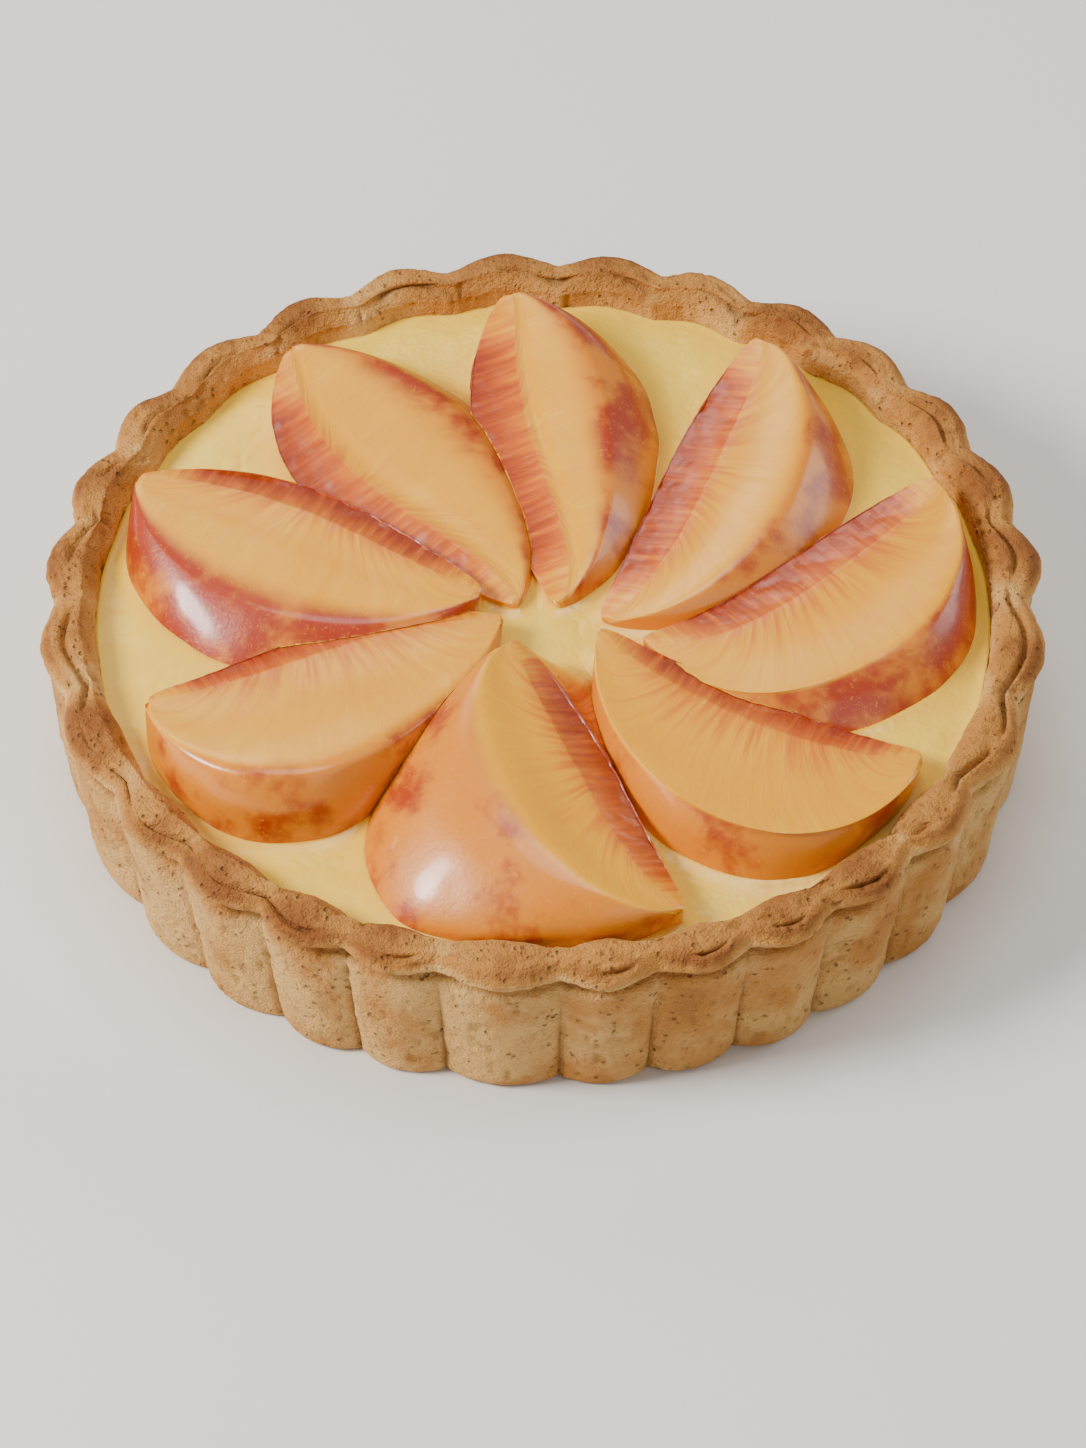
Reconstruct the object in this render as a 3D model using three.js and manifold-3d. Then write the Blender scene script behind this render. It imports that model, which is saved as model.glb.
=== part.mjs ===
// Fruit tart about 18 cm across: a hand-fluted shortcrust shell, filled with custard,
// and eight peach wedges laid on it in a pinwheel round a small open centre.
// Millimetres, +Z up. The origin is the centre of the flat underside.
import * as THREE from "three";
import Module from "manifold-3d";

const wasm = await Module();
wasm.setup();

const DEG = Math.PI / 180;

// Crust, wall and foot
const FOOT_RADIUS = 82.9;
const FOOT_ROUND = 1.6;
const WALL_HEIGHT = 26;
const WALL_FLARE = 2.2;
const FLUTE_DEPTH = 2.4;
const FLUTE_LEAN = 2.2;

// Crust, rolled rim
const RIM_RADIUS = 86;
const RIM_WAVE = 2.8;
const RIM_MIDDLE_HEIGHT = 30;
const RIM_TOP = 33.6;
const RIM_DIP = 0.5;
const RIM_CREASE = 3.4;
const RIM_NECK = 0.8;

// Crust, inside
const FILL_RADIUS = 78.8;
const INNER_WAVE = 0.8;
const FLOOR_RADIUS = 73;
const FLOOR_CORNER_RADIUS = 75;
const FLOOR_HEIGHT = 5;

// Flutes are pressed by hand, so each has its own width. They run round from the left, in degrees.
const FIRST_NOTCH = -180;
const FLUTE_WIDTHS = [
  15, 16, 13, 12, 11, 11, 14, 11, 11, 11, 12, 12, 15, 16,
  13, 13, 13, 12, 12, 12, 13, 14, 13, 13, 14, 12, 13, 13,
];
const COLUMNS_PER_FLUTE = 6;

// Custard
const FILL_LEVEL = 28;
const GAP = 0.35;

// Wedges. A wedge is a segment of a peach: a flat cut face from the stone's edge to the skin,
// and the skin rolling down from there into the custard.
const WEDGE_BOTTOM = 24;
const WALL_CLEARANCE = 77.2;
const WALL_SLOPE_BELOW = 0.2;
const WALL_SLOPE_ABOVE = 0.35;
const STONE_WIDTH = 6.5;
const STONE_LIP = 1;
const STONE_DROP = 1.2;
const EDGE_CHAMFER = 1.2;
const TIP_DEPTH_POWER = 5;
const TIP_MIDDLE = 0.4;
const UNDERCUT_TURN = [-0.4, 0.2];
const SKIN_STEPS = 6;
const STATIONS = 14;

// Each wedge: where the middle of its straight chord is, which way the chord points outwards,
// its length and the depth of its cut face, the tilts, how the skin leans and curves below the
// face, how far the stone's edge bows out and how far that bow leads, and how the section drifts
// along the chord. side is 1 with the skin on the left of the chord, seen from the centre, else -1.
// undercut is how far the second cut face leans back under the first one for each mm it drops, and
// innerUndercut is that at the inner end, where it differs.
const WEDGES = [
  { name: "wedge_1", x: -41, y: 14, z: 35.2, heading: 158, pitch: 3, length: 66.5, depth: 20,
    side: 1, roll: 2.5, lean: 69, curve: 26, bow: 9.8, lead: 0.35, drift: 0.03, blunt: 1.8, undercut: 0.35 },
  { name: "wedge_2", x: -26.4, y: 28.6, z: 33.5, heading: 125.7, pitch: 5, length: 72, depth: 16.5,
    side: -1, roll: 2.5, lean: 66, curve: 18, bow: 13.4, lead: 0.5, drift: 0.19, blunt: 1.8, undercut: 0.35 },
  { name: "wedge_3", x: -3.2, y: 35.4, z: 34.4, heading: 97.7, pitch: 6, length: 71.7, depth: 14,
    side: -1, roll: 12, lean: 67, curve: 26, bow: 7.6, lead: 0.5, drift: 0.15, blunt: 2.1, undercut: 0.35 },
  { name: "wedge_4", x: 23.8, y: 29.2, z: 33.7, heading: 65.5, pitch: 6, length: 70, depth: 21.3,
    side: -1, roll: 8.5, lean: 63, curve: 26, bow: 1.9, lead: 0.9, drift: -0.04, blunt: 2, undercut: 0.35 },
  { name: "wedge_5", x: 43.4, y: 8.8, z: 34, heading: 35.3, pitch: 2, length: 65, depth: 30,
    side: -1, roll: 3, lean: 64, curve: 21.5, bow: -0.5, lead: -6, drift: -0.12, blunt: 2.2, undercut: 0.35 },
  { name: "wedge_6", x: 38, y: -23.5, z: 34.2, heading: -26.5, pitch: -2.3, length: 62, depth: 33,
    side: -1, roll: 6.5, lean: 40, curve: 20.5, bow: -1.8, lead: 0.5, drift: 0.21, blunt: 2, undercut: 0.35 },
  { name: "wedge_7", x: 10.2, y: -44.5, z: 36.2, heading: -62.5, pitch: -6.5, length: 62.8, depth: 21,
    side: -1, roll: 17.5, lean: 81, curve: 39, bow: 2, lead: -1, drift: 0.11, blunt: 2, undercut: -0.25,
    innerUndercut: -1.45 },
  { name: "wedge_8", x: -38, y: -16, z: 34.9, heading: 200.6, pitch: 3, length: 65.3, depth: 31,
    side: 1, roll: 12.5, lean: 40, curve: 20.5, bow: 7.3, lead: -0.6, drift: 0.35, blunt: 1.8,
    undercut: 0.35 },
];

// A wedge keeps its whole shape where it lies over or in front of the ones named after it.
const LAYING_ORDER = [
  "wedge_7", "wedge_8", "wedge_6", "wedge_1", "wedge_5", "wedge_2", "wedge_4", "wedge_3",
];

const COLOURS = { crust: 0xc98d4c, custard: 0xf2dc94, wedge: 0xf0a13c };

// Closed skin over rings of equal count, with a pole at each end.
function loft(rings, first, last, reversed) {
  const count = rings[0].length;
  const points = [first, ...rings.flat(), last];
  const positions = points.flatMap((point) => point.toArray());
  const end = points.length - 1;
  const at = (ring, i) => 1 + ring * count + (i % count);
  const index = [];
  const face = (a, b, c) => index.push(...(reversed ? [a, c, b] : [a, b, c]));
  for (let i = 0; i < count; i++) {
    face(0, at(0, i + 1), at(0, i));
    face(end, at(rings.length - 1, i), at(rings.length - 1, i + 1));
    for (let ring = 0; ring + 1 < rings.length; ring++) {
      face(at(ring, i), at(ring, i + 1), at(ring + 1, i + 1));
      face(at(ring, i), at(ring + 1, i + 1), at(ring + 1, i));
    }
  }
  const geometry = new THREE.BufferGeometry();
  geometry.setAttribute("position", new THREE.Float32BufferAttribute(positions, 3));
  geometry.setIndex(index);
  return geometry;
}

function toSolid(geometry) {
  const vertProperties = new Float32Array(geometry.getAttribute("position").array);
  const triVerts = new Uint32Array(geometry.getIndex().array);
  return new wasm.Manifold(new wasm.Mesh({ numProp: 3, vertProperties, triVerts }));
}

function toGeometry(solid) {
  const { vertProperties, triVerts } = solid.getMesh();
  const geometry = new THREE.BufferGeometry();
  geometry.setAttribute("position", new THREE.BufferAttribute(vertProperties, 3));
  geometry.setIndex(new THREE.BufferAttribute(triVerts, 1));
  return geometry;
}

// One column of the shell for each step round the rim: its angle, and how far it stands out of
// the notches. arch is a round arch that meets the next one in a sharp notch, wave a soft swell.
function shellColumns() {
  const columns = [];
  let notch = FIRST_NOTCH;
  for (const width of FLUTE_WIDTHS) {
    for (let step = 0; step < COLUMNS_PER_FLUTE; step++) {
      const u = step / COLUMNS_PER_FLUTE;
      const angle = (notch + width * u) * DEG;
      const arch = 1 - (2 * u - 1) ** 2;
      const wave = 0.5 - 0.5 * Math.cos(2 * Math.PI * u);
      columns.push({ angle, arch, wave: 0.5 * (arch + wave) });
    }
    notch += width;
  }
  return columns;
}

// On the left and right the flutes lean a little towards the front, down to the foot.
function leaningAngle(column, z) {
  const share = Math.max(0, 1 - z / WALL_HEIGHT);
  return column.angle - FLUTE_LEAN * DEG * Math.cos(column.angle) * share;
}

const wallRadius = (column, z) => FOOT_RADIUS + (WALL_FLARE * z) / WALL_HEIGHT + FLUTE_DEPTH * column.arch;

// The rim's inner edge bulges inwards behind each flute at the front and follows it at the back.
function innerRadius(column) {
  const front = -Math.sin(column.angle);
  return FILL_RADIUS - INNER_WAVE * front * (2 * column.wave - 1);
}

// Radius and height of one column of the shell, from the underside over the rim to the floor.
function shellProfile(column) {
  const foot = wallRadius(column, 0);
  const rim = RIM_RADIUS + RIM_WAVE * column.wave;
  const inner = innerRadius(column);
  const top = RIM_TOP - RIM_DIP * (1 - column.wave);
  const outerRoll = rim - RIM_CREASE;
  return [
    [foot - FOOT_ROUND, 0],
    [foot - 0.2 * FOOT_ROUND, 0.4 * FOOT_ROUND],
    [wallRadius(column, 2.2), 2.2],
    [wallRadius(column, 0.5 * WALL_HEIGHT), 0.5 * WALL_HEIGHT],
    [wallRadius(column, WALL_HEIGHT), WALL_HEIGHT],
    [rim - RIM_NECK, WALL_HEIGHT + 2],
    [rim, RIM_MIDDLE_HEIGHT],
    [rim - 0.8, top - 1.6],
    [rim - 2.1, top - 0.6],
    [outerRoll, top - 1],
    [0.5 * (outerRoll + inner) + 0.3, top],
    [inner + 1.9, top - 0.9],
    [inner + 0.6, RIM_MIDDLE_HEIGHT + 0.8],
    [inner, FILL_LEVEL],
    [FLOOR_CORNER_RADIUS, FLOOR_HEIGHT + 2],
    [FLOOR_RADIUS, FLOOR_HEIGHT],
  ];
}

function polar(radius, angle, z) {
  return new THREE.Vector3(radius * Math.cos(angle), radius * Math.sin(angle), z);
}

// Turns profiles of radius and height, one for each column, into rings round the axis.
function ringsOf(columns, profile, angleAt) {
  const profiles = columns.map(profile);
  const ring = (row) =>
    columns.map((column, i) => {
      const [radius, z] = profiles[i][row];
      return polar(radius, angleAt(column, z), z);
    });
  return profiles[0].map((_, row) => ring(row));
}

function crustGeometry(columns) {
  const rings = ringsOf(columns, shellProfile, leaningAngle);
  const underside = new THREE.Vector3(0, 0, 0);
  const floor = new THREE.Vector3(0, 0, FLOOR_HEIGHT);
  return loft(rings, underside, floor, false);
}

function custardSolid(columns) {
  const bottom = FLOOR_HEIGHT + GAP;
  const profile = (column) => [
    [FLOOR_RADIUS - GAP, bottom],
    [FLOOR_CORNER_RADIUS - GAP, FLOOR_HEIGHT + 2],
    [innerRadius(column) - GAP, FILL_LEVEL],
  ];
  const rings = ringsOf(columns, profile, (column) => column.angle);
  return toSolid(loft(rings, new THREE.Vector3(0, 0, bottom), new THREE.Vector3(0, 0, FILL_LEVEL), false));
}

// How thick a wedge is under its chord at station s, so that its bottom is level.
function thicknessAt(w, s) {
  return w.z + 0.5 * s * w.length * Math.sin(w.pitch * DEG) - WEDGE_BOTTOM;
}

function undercutAt(w, s) {
  const [start, end] = UNDERCUT_TURN;
  const share = THREE.MathUtils.clamp((s - start) / (end - start), 0, 1);
  return THREE.MathUtils.lerp(w.innerUndercut ?? w.undercut, w.undercut, share);
}

// Outline of a wedge across its chord at station s, from -1 at the inner tip to 1 at the outer one:
// h runs from the chord towards the skin and v is up. size scales it towards the tips, and deep
// does so for what lies below the cut face. The third number is the share of the way from the
// stone's edge to the skin.
function wedgeSection(w, s) {
  const size = (1 - Math.abs(s) ** w.blunt) ** (1 / w.blunt);
  const deep = (1 - Math.abs(s) ** TIP_DEPTH_POWER) ** (1 / TIP_DEPTH_POWER);
  const bow = w.bow * (1 - s * s) * (1 + w.lead * s);
  const roll = w.roll * DEG;
  const lean = w.lean * DEG;
  const thick = thicknessAt(w, s);
  const onFace = (d, drop, reach) => {
    const along = d * size - bow;
    return [along * Math.cos(roll), along * Math.sin(roll) - drop * size, reach];
  };
  const points = [
    onFace(-STONE_LIP, STONE_DROP, 0),
    onFace(0.35 * STONE_WIDTH, 0.3 * STONE_DROP, 0.1),
    onFace(STONE_WIDTH, 0, 0.3),
  ];
  const edge = [w.depth * size * Math.cos(roll), w.depth * size * Math.sin(roll)];
  const chamfer = EDGE_CHAMFER * size;
  points.push([edge[0] - chamfer * Math.cos(roll), edge[1] - chamfer * Math.sin(roll), 1]);
  const drop = w.depth * Math.sin(roll) + thick;
  const lowest = Math.asin(Math.max(-0.97, Math.sin(lean) - drop / w.curve));
  for (let step = 0; step <= SKIN_STEPS; step++) {
    const share = Math.max(0.08, step / SKIN_STEPS);
    const angle = lean + (lowest - lean) * share;
    const h = w.curve * (Math.cos(angle) - Math.cos(lean));
    const v = w.curve * (Math.sin(angle) - Math.sin(lean));
    points.push([edge[0] + h * size, edge[1] + v * (deep - (1 - size) * 0.3), 1]);
  }
  points.push([undercutAt(w, s) * thick * size - bow, -thick * deep, 0]);
  return points;
}

// Moves each corner of a closed clockwise outline outwards, so that both sides move by the margin.
function grownOutline(points, margin) {
  const normal = (from, to) => {
    const size = Math.hypot(to[0] - from[0], to[1] - from[1]);
    return [(from[1] - to[1]) / size, (to[0] - from[0]) / size];
  };
  return points.map((point, i) => {
    const before = normal(points.at(i - 1), point);
    const after = normal(point, points[(i + 1) % points.length]);
    const share = margin / Math.max(0.5, 1 + before[0] * after[0] + before[1] * after[1]);
    const h = point[0] + share * (before[0] + after[0]);
    const v = point[1] + share * (before[1] + after[1]);
    return [h, v, point[2]];
  });
}

// Keeps a point of a wedge off the shell's inner wall, which leans out, most above the custard.
function insideWall(point, margin) {
  const rise = point.z - FILL_LEVEL;
  const limit = WALL_CLEARANCE + Math.max(WALL_SLOPE_BELOW * rise, WALL_SLOPE_ABOVE * rise) + margin;
  const scale = Math.min(1, limit / Math.hypot(point.x, point.y));
  return new THREE.Vector3(point.x * scale, point.y * scale, point.z);
}

// A wedge as sections across its chord, which shrink to its two tips. margin makes it larger all
// round, for cutting its bed in what it touches.
function wedgeSolid(w, margin) {
  const heading = w.heading * DEG;
  const pitch = w.pitch * DEG;
  const chord = new THREE.Vector3(
    Math.cos(heading) * Math.cos(pitch),
    Math.sin(heading) * Math.cos(pitch),
    Math.sin(pitch),
  );
  const left = new THREE.Vector3(-Math.sin(heading), Math.cos(heading), 0);
  const up = new THREE.Vector3().crossVectors(chord, left);
  const out = left.clone().multiplyScalar(w.side);
  const middle = new THREE.Vector3(w.x, w.y, w.z);
  const half = 0.5 * w.length + margin;
  const place = (along, h, v) => {
    const onChord = middle.clone().addScaledVector(chord, along);
    return onChord.addScaledVector(out, h).addScaledVector(up, v);
  };
  const rings = [];
  for (let station = 1; station < STATIONS; station++) {
    const s = -Math.cos((Math.PI * station) / STATIONS);
    const grown = grownOutline(wedgeSection(w, s), margin);
    const points = grown.map(([h, v, reach]) => place(s * half + w.drift * reach * h, h, v));
    rings.push(points.map((point) => insideWall(point, margin)));
  }
  const tip = (end) => place(end * half, 0, -TIP_MIDDLE * thicknessAt(w, end));
  return toSolid(loft(rings, tip(-1), tip(1), w.side > 0));
}

// Wedges in laying order, each cut back from the ones laid over it.
function wedgeSolids() {
  const solids = new Map();
  const beds = [];
  for (const name of LAYING_ORDER) {
    const wedge = WEDGES.find((w) => w.name === name);
    let solid = wedgeSolid(wedge, 0);
    for (const bed of beds) {
      solid = solid.subtract(bed);
    }
    solids.set(name, solid);
    beds.push(wedgeSolid(wedge, GAP));
  }
  return { solids, beds };
}

function material(colour, roughness) {
  return new THREE.MeshStandardMaterial({ color: colour, roughness, metalness: 0, flatShading: true });
}

function piece(name, geometry, finish) {
  const mesh = new THREE.Mesh(geometry, finish);
  mesh.name = name;
  return mesh;
}

function fruitTart() {
  const tart = new THREE.Group();
  const columns = shellColumns();
  const { solids, beds } = wedgeSolids();
  let custard = custardSolid(columns);
  for (const bed of beds) {
    custard = custard.subtract(bed);
  }
  tart.add(piece("crust", crustGeometry(columns), material(COLOURS.crust, 0.8)));
  tart.add(piece("custard", toGeometry(custard), material(COLOURS.custard, 0.35)));
  const fruit = material(COLOURS.wedge, 0.3);
  for (const { name } of WEDGES) {
    tart.add(piece(name, toGeometry(solids.get(name)), fruit));
  }
  return tart;
}

export default fruitTart();
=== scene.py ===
"""Fruit tart: a hand-fluted shortcrust shell filled with set custard, and eight peach wedges.

Shapes are worked out in millimetres as whole numpy arrays and turned into metres when a mesh is
made. The shell is a grid of columns round the rim and rows along its profile, the custard a
polar grid, and a wedge a run of sections from tip to tip.
"""
import itertools
import math
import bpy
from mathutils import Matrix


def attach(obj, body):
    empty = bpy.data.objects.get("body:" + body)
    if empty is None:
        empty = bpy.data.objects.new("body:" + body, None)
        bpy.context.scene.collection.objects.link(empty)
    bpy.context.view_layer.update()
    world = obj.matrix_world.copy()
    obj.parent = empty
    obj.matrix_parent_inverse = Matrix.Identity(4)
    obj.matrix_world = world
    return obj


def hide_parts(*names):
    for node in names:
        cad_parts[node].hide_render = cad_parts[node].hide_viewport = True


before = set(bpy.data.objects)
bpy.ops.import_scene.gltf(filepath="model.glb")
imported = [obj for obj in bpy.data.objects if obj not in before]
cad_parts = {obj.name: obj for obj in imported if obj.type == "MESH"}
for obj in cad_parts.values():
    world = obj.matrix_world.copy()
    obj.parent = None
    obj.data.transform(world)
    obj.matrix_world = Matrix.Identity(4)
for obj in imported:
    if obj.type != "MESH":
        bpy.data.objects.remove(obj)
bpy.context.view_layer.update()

from types import SimpleNamespace

import bpy
import numpy as np
from mathutils import Vector

MM = 0.001

# Crust, wall and foot
FOOT_RADIUS = 82.9
FOOT_ROUND = 1.6
WALL_HEIGHT = 26
WALL_FLARE = 2.2
FLUTE_DEPTH = 2.4
FLUTE_LEAN = 2.2

# Crust, rolled rim
RIM_RADIUS = 86
RIM_WAVE = 2.8
RIM_MIDDLE_HEIGHT = 30
RIM_TOP = 33.6
RIM_DIP = 0.5
RIM_CREASE = 3.4
RIM_NECK = 1.7
NECK_HEIGHT = 28

# Crust, inside
FILL_RADIUS = 78.8
INNER_WAVE = 0.8
FLOOR_RADIUS = 73
FLOOR_CORNER_RADIUS = 75
FLOOR_HEIGHT = 5

# Flutes run round from the left, in degrees, each with its own width
FIRST_NOTCH = -180
FLUTE_WIDTHS = [
    15, 16, 13, 12, 11, 11, 14, 11, 11, 11, 12, 12, 15, 16,
    13, 13, 13, 12, 12, 12, 13, 14, 13, 13, 14, 12, 13, 13,
]
COLUMNS_PER_FLUTE = 38

# Creases on the rim: where each one starts and ends, counted in flutes from the left
RIM_CREASES = [
    (0.1, 1.25), (1.45, 1.65), (1.8, 2.35), (2.45, 3.15), (3.4, 4.8), (5.4, 5.85), (7.3, 7.8),
    (8.3, 8.8), (9.2, 9.65), (10.1, 10.65), (11.05, 11.35), (11.8, 12.4), (12.5, 14.1), (14.2, 15.2),
    (15.5, 15.85), (16.05, 16.85), (17.1, 17.6), (17.95, 18.5), (18.6, 19.6), (19.9, 20.6),
    (20.8, 21.55), (22.05, 22.85), (23.4, 23.95), (24.25, 24.85), (25.2, 25.85), (26.1, 26.5),
    (26.8, 27.65),
]
CREASE_TAPER = 0.2
CREASE_INSET = 4
CREASE_SHIFT = 2.3
CREASE_WIDTH = 0.5
CREASE_DEPTH = 1.5

# Crust, other marks: widths of cracks and notch lines are shares of a flute
CRACK_SEED = 11
CRACK_SPREAD = 0.12
CRACK_REACH = (1.2, 3.4)
CRACK_WIDTH = 0.035
CRACK_DEPTH = 0.8
NOTCH_WIDTH = 0.022
NOTCH_DEPTH = 0.65
FOLD_WIDTH = 1.1
FOLD_DEPTH = 0.4
PIT_SIZE = 1.5
PIT_DEPTH = 0.34

# Layers of noise: height or strength, size and seed
CRUMB_LUMPS = [(0.3, 13, 1), (0.2, 5.5, 2), (0.13, 2.2, 3), (0.11, 1.1, 4)]
TOAST_PATCHES = [(0.28, 16, 6), (0.18, 6, 7)]
CUSTARD_RIPPLES = [(0.16, 22, 31), (0.07, 7, 32)]

# Custard
FILL_LEVEL = 28
BED_DEPTH = 7
SWELL_HEIGHT = 0.8
SWELL_WIDTH = 1.7
WALL_CLING = 0.2
WALL_SINK = 0.7
WALL_SINK_WIDTH = 6
JUICE_REACH = 2.5
CUSTARD_TUCK = 0.15
CUSTARD_RINGS = 150
CUSTARD_COLUMN_STEP = 2

# Wedges
WEDGE_BOTTOM = 24
WALL_CLEARANCE = 77.2
WALL_SLOPE_BELOW = 0.2
WALL_SLOPE_ABOVE = 0.35
WALL_SOFTNESS = 0.8
STONE_LIP = 1
STONE_DROP = 1.2
STONE_DEPTH = 2.1
EDGE_ROUND = 1.3
FACE_SINK = 0.35
TIP_DEPTH_POWER = 5
TIP_LIFT = 0.3
LOWEST_SKIN_SINE = -0.97
UNDERCUT_TURN = (-0.4, 0.2)
TIP_ROUND = 1.3
TIP_ROUND_POWER = 45
TIP_CORNER = 1.6
TIP_CORNER_POWER = 22
DROOP_REACH = 3

# Wedges, points of a section and where its lip, scoop and rounded edge begin or end
STATIONS = 150
SECOND_POINTS = 20
LIP_POINTS = 6
SCOOP_POINTS = 26
FACE_POINTS = 44
EDGE_POINTS = 9
SKIN_POINTS = 40
UNDER_POINTS = 10
LIP_SHARE = 0.08
SCOOP_START = 0.06
EDGE_SHARE = 0.1

# Wedges, finish and cuts
FLESH_SWELL = 0.16
SKIN_SWELL = 0.2
FIBRE_DEPTH = 0.025
STONE_LUMPS = (0.24, 0.1)
RIPENESS = 0.3
FIBRE_FAN = 0.8
WEDGE_GAP = 0.12
SHARP_ANGLE = 50

WEDGES = {
    "wedge_1": dict(
        middle=(-41, 14, 35.2), heading=158, pitch=3, length=66.5, depth=20, side=1, roll=2.5,
        lean=69, curve=26, bow=9.8, lead=0.35, drift=0.03, blunt=1.8, undercut=(0.35, 0.35), hollow=6.5),
    "wedge_2": dict(
        middle=(-26.4, 28.6, 33.5), heading=125.7, pitch=5, length=72, depth=16.5, side=-1, roll=2.5,
        lean=66, curve=18, bow=13.4, lead=0.5, drift=0.19, blunt=1.8, undercut=(0.35, 0.35), hollow=8.5),
    "wedge_3": dict(
        middle=(-3.2, 35.4, 34.4), heading=97.7, pitch=6, length=71.7, depth=14, side=-1, roll=12,
        lean=67, curve=26, bow=7.6, lead=0.5, drift=0.15, blunt=2.1, undercut=(0.35, 0.35), hollow=9),
    "wedge_4": dict(
        middle=(23.8, 29.2, 33.7), heading=65.5, pitch=6, length=70, depth=21.3, side=-1, roll=8.5,
        lean=63, curve=26, bow=1.9, lead=0.9, drift=-0.04, blunt=2, undercut=(0.35, 0.35), hollow=8.5),
    "wedge_5": dict(
        middle=(43.4, 8.8, 34), heading=35.3, pitch=2, length=65, depth=30, side=-1, roll=3,
        lean=64, curve=21.5, bow=-0.5, lead=-6, drift=-0.12, blunt=2.2, undercut=(0.35, 0.35), hollow=8.5),
    "wedge_6": dict(
        middle=(38, -23.5, 34.2), heading=-26.5, pitch=-2.3, length=62, depth=33, side=-1, roll=6.5,
        lean=40, curve=20.5, bow=-1.8, lead=0.5, drift=0.21, blunt=2, undercut=(0.35, 0.35), hollow=6.5),
    "wedge_7": dict(
        middle=(10.2, -44.5, 36.2), heading=-62.5, pitch=-6.5, length=62.8, depth=21, side=-1, roll=17.5,
        lean=81, curve=39, bow=2, lead=-1, drift=0.11, blunt=2, undercut=(-1.45, -0.25), hollow=6.5),
    "wedge_8": dict(
        middle=(-38, -16, 34.9), heading=200.6, pitch=3, length=65.3, depth=31, side=1, roll=12.5,
        lean=40, curve=20.5, bow=7.3, lead=-0.6, drift=0.35, blunt=1.8, undercut=(0.35, 0.35), hollow=6.5),
}

# A wedge keeps its whole shape where it lies over or in front of the ones named after it
LAYING_ORDER = [
    "wedge_7", "wedge_8", "wedge_6", "wedge_1", "wedge_5", "wedge_2", "wedge_4", "wedge_3",
]

# Camera
CAMERA_LENS = 150
CAMERA_DISTANCE = 1086
CAMERA_ELEVATION = 47.8
CAMERA_AIM = (0, -1, 0)

# Floor, half its side in metres
FLOOR_HALF = 3

# Base colours as screen codes, deeper than they look, because the view softens them
COLOURS = dict(
    dough="dfae66", golden="c4853c", brown="8f541f",
    # The pore and crevice colours on the next line are painted shade, for the crust's pores and crevices.
    fleck="8f5a2a", shaded_pore="84532a", crevice_shade="824c20",
    custard="f8d244", custard_patch="f2c434", custard_juice="eeae28", vanilla="6b4a26",
    flesh="f4aa02", fibre="dc7a00", strand="fac018", flesh_patch="ec9a00",
    stone_edge="d25010", stone_heart="8e240c",
    skin="e08400", blush="aa320a", speckle="eea434",
    floor="e9e7e3",
)


def smooth_step(low, high, value):
    """0 below low, 1 above high, and 3 t² − 2 t³ between them."""
    t = np.clip((value - low) / (high - low), 0, 1)
    return t * t * (3 - 2 * t)


def soft_noise(points, size, seed):
    """Smooth lumps about size mm apart: random values on a lattice, blended between the eight
    corners of each cell by a smooth step along each axis."""
    lattice = np.random.default_rng(seed).uniform(-1, 1, (64, 64, 64))
    place = points / size
    cell = np.floor(place).astype(int)
    share = smooth_step(0, 1, place - cell)
    total = np.zeros(points.shape[:-1])
    for corner in itertools.product((0, 1), repeat=3):
        weight = np.prod(np.where(corner, share, 1 - share), axis=-1)
        index = (cell + corner) % 64
        total += weight * lattice[index[..., 0], index[..., 1], index[..., 2]]
    return total


def layered_noise(points, layers):
    """Sum of layers of soft noise, each with its own height, size and seed."""
    return sum(height * soft_noise(points, size, seed) for height, size, seed in layers)


def grid_normals(rings):
    """Unit normals of a grid that closes along its second axis: the cross product of the steps
    along both axes."""
    along = np.gradient(rings, axis=0)
    around = np.roll(rings, -1, axis=1) - np.roll(rings, 1, axis=1)
    normals = np.cross(around, along)
    return normals / np.maximum(1e-9, np.linalg.norm(normals, axis=-1, keepdims=True))


def loft(name, rings, poles, values):
    """Closed skin over rings of equal count, with a pole at each end. Place i of ring r is vertex
    1 + r · count + i. values are named numbers or vectors for each place of the grid."""
    rows, count, _ = rings.shape
    last = rows * count + 1
    vertices = np.concatenate([[poles[0]], rings.reshape(-1, 3), [poles[1]]])
    here = 1 + np.arange(rows * count).reshape(rows, count)
    ahead = np.roll(here, -1, axis=1)
    quads = np.stack([here[:-1], ahead[:-1], ahead[1:], here[1:]], axis=-1).reshape(-1, 4)
    first_fan = np.stack([np.zeros(count, int), ahead[0], here[0]], axis=-1)
    last_fan = np.stack([np.full(count, last), here[-1], ahead[-1]], axis=-1)
    corners = vertices[quads]
    faces_in = np.einsum("ij,ij->", np.cross(corners[:, 0], corners[:, 1]), corners[:, 2]) < 0
    turn = -1 if faces_in else 1
    loops = np.concatenate([part[:, ::turn].ravel() for part in (quads, first_fan, last_fan)])
    sizes = np.repeat([4, 3, 3], [len(quads), count, count])
    mesh = bpy.data.meshes.new(name)
    mesh.vertices.add(len(vertices))
    mesh.vertices.foreach_set("co", (vertices * MM).ravel())
    mesh.loops.add(len(loops))
    mesh.loops.foreach_set("vertex_index", loops)
    mesh.polygons.add(len(sizes))
    mesh.polygons.foreach_set("loop_start", np.cumsum(sizes) - sizes)
    mesh.polygons.foreach_set("use_smooth", np.ones(len(sizes), bool))
    mesh.update(calc_edges=True)
    for key, grid in values.items():
        flat = grid.reshape(rows * count, -1)
        full = np.concatenate([flat[:count].mean(axis=0)[None], flat, flat[-count:].mean(axis=0)[None]])
        kind, field = ("FLOAT", "value") if full.shape[1] == 1 else ("FLOAT_VECTOR", "vector")
        mesh.attributes.new(key, kind, "POINT").data.foreach_set(field, full.ravel())
    piece = bpy.data.objects.new(name, mesh)
    bpy.context.scene.collection.objects.link(piece)
    return piece


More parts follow.
